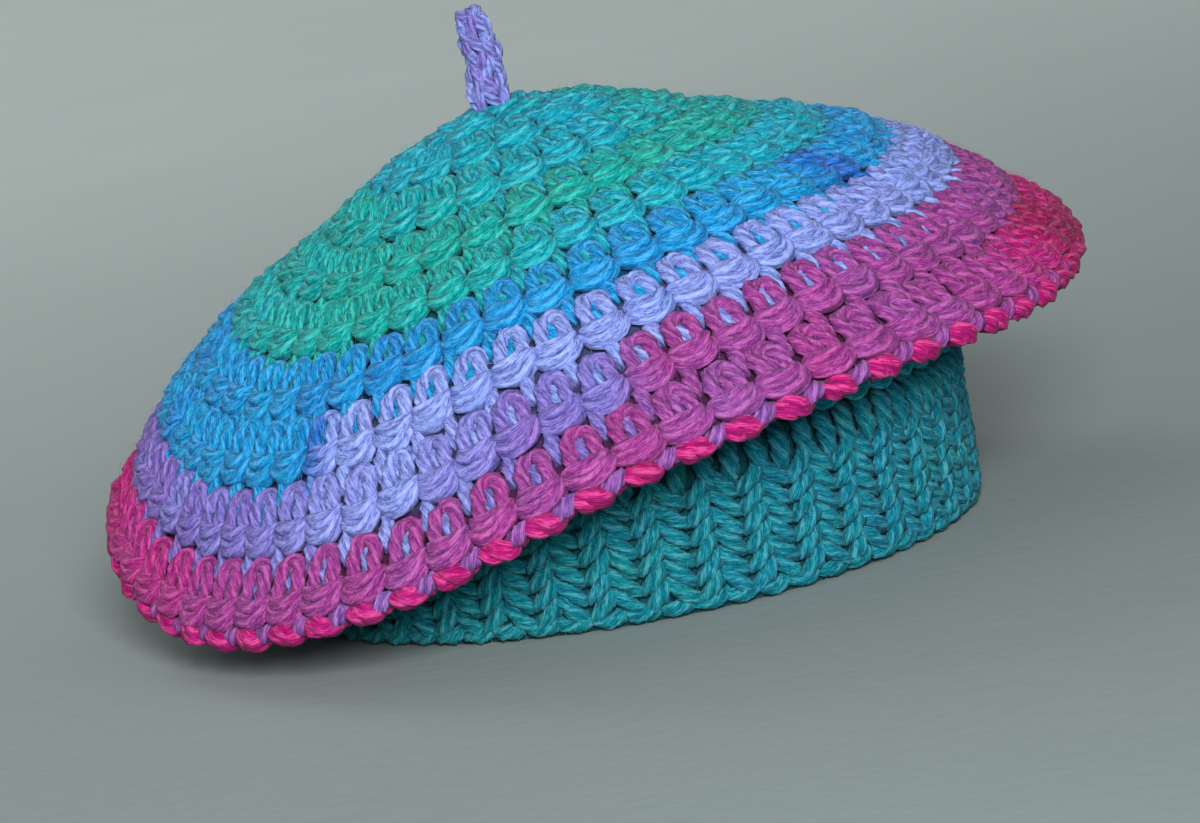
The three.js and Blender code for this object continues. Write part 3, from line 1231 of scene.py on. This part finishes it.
@dataclass
class Crown:
    """The domed top, worked in rounds of tall stitches from the centre out."""

    shape: HatShape
    yarn: Yarn
    stitch_width: float = 0.011
    ground_lift: float = -0.0038
    rows_a_round: int = 6
    centre: float = 0.02
    ribs: int = 3
    rib_depth: float = 0.0004
    round_turn: float = 0.7
    rim_length: float = 0.95

    def counts(self) -> list[int]:
        """How many stitches each round has. The last has as many as the one before it."""
        middles = [(near + far) / 2 for (near, _), (far, _) in pairwise(self.shape.crown_rounds)]
        around = FULL_TURN * self.shape.crown_radius
        counts = [round(around * middle / self.stitch_width) for middle in middles]
        return [*counts[:-1], counts[-2]]

    def outer_count(self) -> int:
        """How many stitches the rim has."""
        return self.counts()[-1]

    def outer_turn(self) -> float:
        """Bearing at which the outermost round starts."""
        return (len(self.counts()) - 1) * self.round_turn

    def rows(self) -> list[tuple[float, float]]:
        """Rows of the ground's section: out under the stitches, and back on the lining side."""
        steps = (len(self.shape.crown_rounds) - 1) * self.rows_a_round
        places = [max(i / self.rows_a_round, self.centre) for i in range(steps + 1)]
        out = [(place, self.ground_lift) for place in places]
        back = [
            (place, self.rib_depth * math.cos(FULL_TURN * self.ribs * place) - self.shape.fabric)
            for place in reversed(places)
        ]
        return out + back

    def make(self, finish: bpy.types.Material, ground: bpy.types.Material) -> None:
        """Builds the ground and the nine rounds.

        Args:
            finish: Material of the yarn.
            ground: Material of the ground.
        """
        surface, counts = self.shape.crown, self.counts()
        shell = Ground(
            "crown_ground", surface, self.rows(), counts[-1], CROWN_DYES, closed_section=False
        )
        dress(shell.make(), ground, "crown_top")
        for row, count in enumerate(counts):
            work = YarnWork(f"crown_round_{row + 1}", self.yarn, seed=11 + row)
            work.work_round(
                TALL_STITCH,
                surface,
                count,
                row,
                CROWN_DYES.at(row),
                CROWN_DYES.at(row - 1),
                length=self.rim_length if row == len(counts) - 1 else 1.0,
                turn=row * self.round_turn,
            )
            dress(work.make(), finish)


@dataclass
class Edge:
    """The bead-like last round that turns the rim under."""

    shape: HatShape
    yarn: Yarn
    count: int
    turn: float
    core_points: int = 12
    core_lift: float = -0.0012
    looseness: float = 0.8
    roll: float = 0.08
    roll_bearing: float = math.radians(205)

    def rolled(self, bearing: np.ndarray, turn: np.ndarray, lift: np.ndarray) -> np.ndarray:
        """Points round the edge, whose stitches have rolled upwards on the hat's low side."""
        facing = np.maximum(np.cos(bearing - self.roll_bearing), 0)
        return self.shape.edge(bearing, turn - self.roll * facing**2, lift)

    def make(self, finish: bpy.types.Material, ground: bpy.types.Material) -> None:
        """Builds the core, the beads, the strands between them and the chain below.

        Args:
            finish: Material of the yarn.
            ground: Material of the core.
        """
        rows = [(i / self.core_points, self.core_lift) for i in range(self.core_points + 1)]
        core = Ground("edge_core", self.shape.edge, rows, self.count, EDGE_DYES)
        dress(core.make(), ground, "edge_round")
        beads = YarnWork("edge_beads", self.yarn, seed=41)
        state = beads.random.bit_generator.state
        for stitch, dyes in (
            (EDGE_BEAD, EDGE_DYES), (EDGE_STRAND, EDGE_STRAND_DYES), (EDGE_CHAIN, EDGE_CHAIN_DYES)
        ):
            beads.random.bit_generator.state = state
            beads.work_round(
                stitch,
                self.rolled,
                self.count,
                0,
                dyes.at(0),
                looseness=self.looseness,
                turn=self.turn,
            )
        dress(beads.make(), finish)


@dataclass
class Underside:
    """The rounds that gather from the rim in to the band."""

    shape: HatShape
    yarn: Yarn
    counts: tuple[int, ...] = (70, 64, 58)
    ribs: int = 64
    ground_lift: float = -0.0034
    rows_a_round: int = 4

    def make(self, finish: bpy.types.Material, ground: bpy.types.Material) -> None:
        """Builds the ground and the three rounds.

        Args:
            finish: Material of the yarn.
            ground: Material of the ground.
        """
        shape = self.shape
        rows = sleeve_rows(
            shape.underside_rounds, self.rows_a_round, self.ground_lift, -shape.fabric
        )
        shell = Ground("underside_ground", shape.underside, rows, self.ribs, UNDERSIDE_DYES)
        dress(shell.make(), ground, "crown_underside")
        for row, count in enumerate(self.counts):
            work = YarnWork(f"underside_round_{row + 1}", self.yarn, seed=51 + row)
            work.work_round(
                TALL_STITCH,
                shape.underside,
                count,
                row,
                UNDERSIDE_DYES.at(row),
                UNDERSIDE_DYES.at(row - 1) if row else EDGE_DYES.at(0),
            )
            dress(work.make(), finish)


@dataclass
class Band:
    """The upright head band: one gathered round, rounds of short stitches and a chain."""

    shape: HatShape
    yarn: Yarn
    gathers: int = 42
    stitches: int = 42
    chains: int = 68
    gather_start: float = 0.1
    gather_share: float = 0.24
    short_rounds: int = 6
    depth: float = 0.0015
    foot_clearance: float = 0.0002
    ribs: int = 62
    ground_lift: float = -0.0034
    rows_a_round: int = 4

    def make(self, finish: bpy.types.Material, ground: bpy.types.Material) -> None:
        """Builds the ground, the rounds and the chain.

        Args:
            finish: Material of the yarn.
            ground: Material of the ground.
        """
        surface, total = self.shape.band, self.shape.band_rounds
        rows = sleeve_rows(total, self.rows_a_round, self.ground_lift, -self.shape.fabric)
        shell = Ground("band_ground", surface, rows, self.ribs, BAND_DYES)
        dress(shell.make(), ground, "head_band")
        work = YarnWork("band_rounds", self.yarn, seed=61)
        gather = self.gather_share * total
        upper_dye, dye = BAND_DYES.at(0), BAND_DYES.at(1)
        work.work_round(
            GATHER_STITCH,
            surface,
            self.gathers,
            self.gather_start,
            upper_dye,
            depth=self.depth,
            length=gather,
        )
        foot = self.yarn.radius * (1 + self.yarn.groove) + self.foot_clearance
        chain_start = total - foot * total / self.shape.band_height
        length = (chain_start - gather) / self.short_rounds
        for row in range(self.short_rounds):
            work.work_round(
                SHORT_STITCH,
                surface,
                self.stitches,
                gather + row * length,
                dye,
                depth=self.depth,
                length=length,
                looseness=0.7,
                turn=0.0,
            )
        work.work_round(
            CHAIN_STITCH, surface, self.chains, chain_start, dye, length=-1.0, looseness=0.5
        )
        dress(work.make(), finish)


@dataclass
class Stem:
    """The short stalk on the crown's centre, a plump braid of stitches."""

    shape: HatShape
    yarn: Yarn
    columns: int = 4
    rows: int = 6
    row_start: float = 0.16
    row_step: float = 0.145
    row_length: float = 0.21
    cap_place: float = 0.06
    cap_length: float = 0.1
    core_heights: tuple[float, ...] = (0.0, 0.1, 0.2, 0.35, 0.5, 0.65, 0.8, 0.9, 0.97)
    core_lift: float = -0.0024

    def make(self, finish: bpy.types.Material, ground: bpy.types.Material) -> None:
        """Builds the core, the braid and the ring at its top.

        Args:
            finish: Material of the yarn.
            ground: Material of the core.
        """
        rows = [(height, self.core_lift) for height in self.core_heights]
        core = Ground("stem_core", self.shape.stem, rows, 6, STEM_DYES, 16, closed_section=False)
        dress(core.make(), ground, "stem")
        work = YarnWork("stem_braid", self.yarn, seed=71)
        work.work_round(
            STEM_CAP,
            self.downwards,
            2,
            self.cap_place,
            STEM_DYES.at(1),
            depth=0.0012,
            length=self.cap_length,
        )
        for row in range(self.rows):
            work.work_round(
                SHORT_STITCH,
                self.downwards,
                self.columns,
                self.row_start + row * self.row_step,
                STEM_DYES.at(row % 2),
                depth=0.0013,
                length=self.row_length,
                looseness=1.6,
            )
        dress(work.make(), finish)

    def downwards(self, bearing: np.ndarray, along: np.ndarray, lift: np.ndarray) -> np.ndarray:
        """Points over the stem's face, by their share of its length from the top down."""
        return self.shape.stem(bearing, 1 - along, lift)


@dataclass(frozen=True)
class Field:
    """A surface that stray fibres stand on.

    Attributes:
        surface: Turns bearings, rounds and lifts into points.
        dyes: Its dyes.
        fibres: How many fibres stand on it.
        rounds: How many rounds it has.
        round_length: Length of one of them.
        radius: Its reach at the last round.
        disc: Whether the reach shrinks to nothing at the first round.
    """

    surface: Surface
    dyes: DyeChart
    fibres: int
    rounds: int
    round_length: float
    radius: float
    disc: bool = False


@dataclass
class Fuzz:
    """Stray fibres that stand off the yarn all over the hat.

    Attributes:
        shape: The hat's surfaces.
        yarn: The fibre, as a yarn of no plies.
        crown_fibres: How many stand on the crown.
        band_fibres: How many stand on the band.
        crown_round: Length of one round of the crown.
        length: Length of a fibre.
        lengths: Least and greatest share of it.
        curl: How far a fibre's heading wanders.
        root: Lift of its root.
        rise: Greatest lift of its tip over the root.
        least_rise: Least share of that lift.
        bend: How late it lifts off.
        margin: Share of the surface that stays bare at each end.
        overhang: How many rounds a fibre may reach past the crown's last one.
        rings: Points along a fibre.
    """

    shape: HatShape
    yarn: Yarn = Yarn(radius=0.00003, groove=0, sides=3)
    crown_fibres: int = 3500
    band_fibres: int = 500
    crown_round: float = 0.0172
    length: float = 0.0036
    lengths: tuple[float, float] = (0.5, 1.4)
    curl: float = 0.9
    root: float = 0.0002
    rise: float = 0.0018
    least_rise: float = 0.15
    bend: float = 1.4
    margin: float = 0.02
    overhang: float = 0.1
    rings: int = 4

    def fields(self) -> tuple[Field, ...]:
        """The surfaces that the fibres stand on."""
        shape = self.shape
        crown_rounds, band_rounds = len(shape.crown_rounds) - 1, shape.band_rounds
        band_round = shape.band_height / band_rounds
        return (
            Field(
                shape.crown, CROWN_DYES, self.crown_fibres, crown_rounds, self.crown_round,
                shape.crown_radius, disc=True,
            ),
            Field(
                shape.band, BAND_DYES, self.band_fibres, band_rounds, band_round, shape.band_radius
            ),
        )

    def make(self, finish: bpy.types.Material) -> None:
        """Lays the fibres of the crown and the band as one mesh.

        Args:
            finish: Material of the fibres.
        """
        work = YarnWork("stray_fibres", self.yarn, seed=81)
        for field in self.fields():
            self.scatter(work, field)
        dress(work.make(), finish)

    def scatter(self, work: YarnWork, field: Field) -> None:
        """Scatters fibres evenly over one surface.

        Args:
            work: The piece of work that they join.
            field: The surface.
        """
        draw, each = work.random, (field.fibres, 1)
        spread = draw.uniform(self.margin, 1 - self.margin, each) ** (0.5 if field.disc else 1)
        start = field.rounds * spread
        around = field.radius * (start / field.rounds if field.disc else 1)
        share = np.linspace(0, 1, self.rings)
        run = self.length * draw.uniform(*self.lengths, each) * share
        heading = draw.uniform(0, FULL_TURN, each) + draw.normal(0, self.curl, each) * share
        bearing = draw.uniform(0, FULL_TURN, each) + run * np.cos(heading) / around
        rounds = start + run * np.sin(heading) / field.round_length
        lift = self.root + self.rise * draw.uniform(self.least_rise, 1, each) * share**self.bend
        rounds = np.clip(rounds, self.margin, field.rounds + self.overhang * field.disc)
        lines = field.surface(bearing, rounds, lift)
        away = field.surface(bearing, rounds, lift + MM) - lines
        work.lay(lines, away, field.dyes.over(bearing, rounds), lift)


# Stage


@dataclass(frozen=True)
class Stage:
    """A pale floor that curves up into a backdrop all round, far behind the camera too."""

    radius: float = 4.5
    wall: float = 3.0
    sides: int = 96
    steps: int = 8
    smooth_angle: float = math.radians(40)

    def make(self) -> None:
        """Raises the bowl from a disc."""
        bpy.ops.object.select_all(action="DESELECT")
        bpy.ops.mesh.primitive_circle_add(
            vertices=self.sides, radius=self.radius, fill_type="NGON"
        )
        floor = bpy.context.active_object
        floor.name = floor.data.name = "floor"
        bpy.ops.object.mode_set(mode="EDIT")
        bpy.ops.mesh.select_all(action="SELECT")
        angles = [step / self.steps * math.pi / 2 for step in range(self.steps + 1)]
        for before, angle in pairwise(angles):
            rise = (math.cos(before) - math.cos(angle)) * self.wall / 2
            wide, wide_before = (
                self.radius + math.sin(turned) * self.wall / 2 for turned in (angle, before)
            )
            bpy.ops.mesh.extrude_region_move(TRANSFORM_OT_translate={"value": (0, 0, rise)})
            bpy.ops.transform.resize(value=(wide / wide_before, wide / wide_before, 1))
        bpy.ops.mesh.delete(type="ONLY_FACE")
        bpy.ops.mesh.select_all(action="SELECT")
        bpy.ops.mesh.normals_make_consistent(inside=True)
        bpy.ops.object.mode_set(mode="OBJECT")
        bpy.ops.object.shade_smooth_by_angle(angle=self.smooth_angle)
        floor.data.materials.append(StageFinish().make())


@dataclass(frozen=True)
class Lamp:
    """A soft square lamp that faces the hat."""

    name: str
    place: tuple[float, float, float]
    size: float
    power: float
    colour: tuple[float, float, float] = (1.0, 1.0, 1.0)
    aim: tuple[float, float, float] = (0, 0, 0.06)

    def make(self) -> None:
        """Hangs the lamp."""
        light = bpy.data.lights.new(self.name, "AREA")
        light.shape, light.size = "SQUARE", self.size
        light.energy, light.color = self.power, self.colour
        lamp = bpy.data.objects.new(self.name, light)
        lamp.location = self.place
        way = Vector(self.aim) - Vector(self.place)
        lamp.rotation_euler = way.to_track_quat("-Z", "Y").to_euler()
        bpy.context.scene.collection.objects.link(lamp)


LAMPS = (
    Lamp("key", (0.10, -1.25, 0.50), 0.35, 19.2),
    Lamp("fill", (-1.1, -1.1, 0.6), 0.9, 4.0, (0.96, 0.98, 1.0)),
    Lamp("back", (-1.6, 2.6, 2.2), 1.4, 22.0),
)


@dataclass(frozen=True)
class Viewpoint:
    """The camera, in front of the hat and rolled so that the crown leans as it does when worn."""

    elevation: float = math.radians(10.27)
    roll: float = math.radians(10.2)
    distance: float = 1.1
    view_width: float = 0.3024
    offset: tuple[float, float] = (-0.0013, -0.0049)
    sensor: float = 36

    def make(self, aim: Vector) -> None:
        """Sets the camera.

        Args:
            aim: The middle of the rim's plane.
        """
        back = Vector((0, -math.cos(self.elevation), math.sin(self.elevation)))
        right, up = Vector((1, 0, 0)), Vector((0, math.sin(self.elevation), math.cos(self.elevation)))
        turned_right = right * math.cos(self.roll) - up * math.sin(self.roll)
        turned_up = up * math.cos(self.roll) + right * math.sin(self.roll)
        centre = aim + turned_right * self.offset[0] + turned_up * self.offset[1]
        data = bpy.data.cameras.new("camera")
        data.sensor_width = self.sensor
        data.lens = self.sensor * self.distance / self.view_width
        camera = bpy.data.objects.new("camera", data)
        axes = Matrix((turned_right, turned_up, back)).transposed()
        camera.matrix_world = Matrix.Translation(centre + back * self.distance) @ axes.to_4x4()
        bpy.context.scene.collection.objects.link(camera)
        bpy.context.scene.camera = camera


@dataclass(frozen=True)
class Room:
    """An even pale glow all round."""

    colour: tuple[float, float, float, float] = (0.86, 0.9, 0.9, 1)
    strength: float = 0.28

    def make(self) -> None:
        """Lights the room and sets plain colours."""
        world = bpy.data.worlds.new("room")
        world.use_nodes = True
        background = world.node_tree.nodes["Background"]
        background.inputs["Color"].default_value = self.colour
        background.inputs["Strength"].default_value = self.strength
        bpy.context.scene.world = world
        bpy.context.scene.view_settings.view_transform = "Standard"


def main() -> None:
    """Builds the hat, its floor, its lights and its camera."""
    logging.basicConfig(level=logging.INFO, format="%(name)s: %(message)s")
    shape, yarn = HatShape(), Yarn()
    finish = YarnFinish("variegated_yarn").make()
    ground = FabricFinish("fabric_ground").make()
    crown = Crown(shape, yarn)
    crown.make(finish, ground)
    Edge(shape, yarn, crown.outer_count(), crown.outer_turn()).make(finish, ground)
    Underside(shape, Yarn(sides=8)).make(finish, ground)
    # Painted shadow: the band's yarn is darkened as if in the shadow under the crown's rim.
    band_finish = YarnFinish("shaded_yarn", shade=0.62).make()
    Band(shape, Yarn(sides=9)).make(band_finish, ground)
    Stem(shape, Yarn(radius=0.0015, turn_length=0.013)).make(finish, ground)
    Fuzz(shape).make(FibreFinish("stray_fibre").make())
    Stage().make()
    for lamp in LAMPS:
        lamp.make()
    Room().make()
    Viewpoint().make(Vector((shape.band_centre, 0, shape.rim_height)))


if __name__ == "__main__":
    main()
